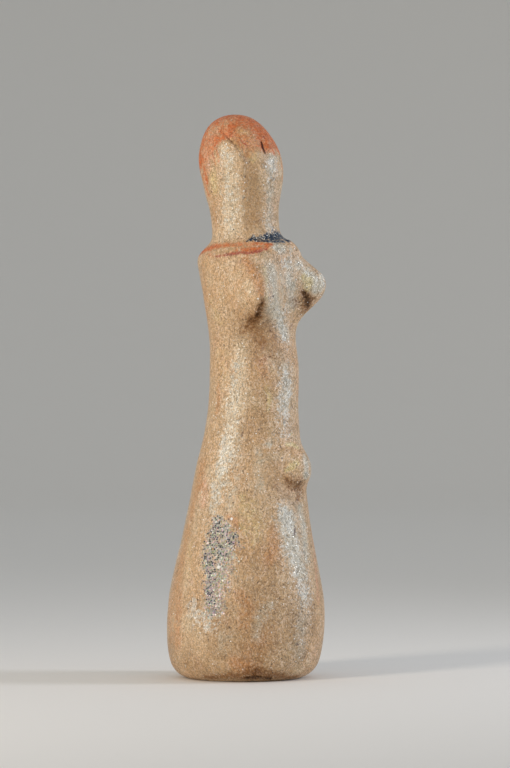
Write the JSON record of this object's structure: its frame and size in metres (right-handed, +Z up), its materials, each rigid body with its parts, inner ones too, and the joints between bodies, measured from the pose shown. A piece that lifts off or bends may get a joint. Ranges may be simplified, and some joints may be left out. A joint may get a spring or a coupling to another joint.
{
  "type": "ritual doll",
  "caption": "Standing clay ritual doll: an armless post of a body that swells to a flat foot, with a knob head on a pinched neck, cone breasts and a navel boss.",
  "frame": {"origin": "middle of the flat underside, on the surface that the doll stands on", "axes": "+Z up along the body, -Y the way the figure faces, +X towards the figure's own left"},
  "size_m": [0.0487, 0.0495, 0.18],
  "materials": {
    "fired_clay": "dry, faintly burnished earthenware with mica in it and worn red paint"
  },
  "bodies": {
    "root": {"clay_doll": "fired_clay"}
  },
  "joints": []
}
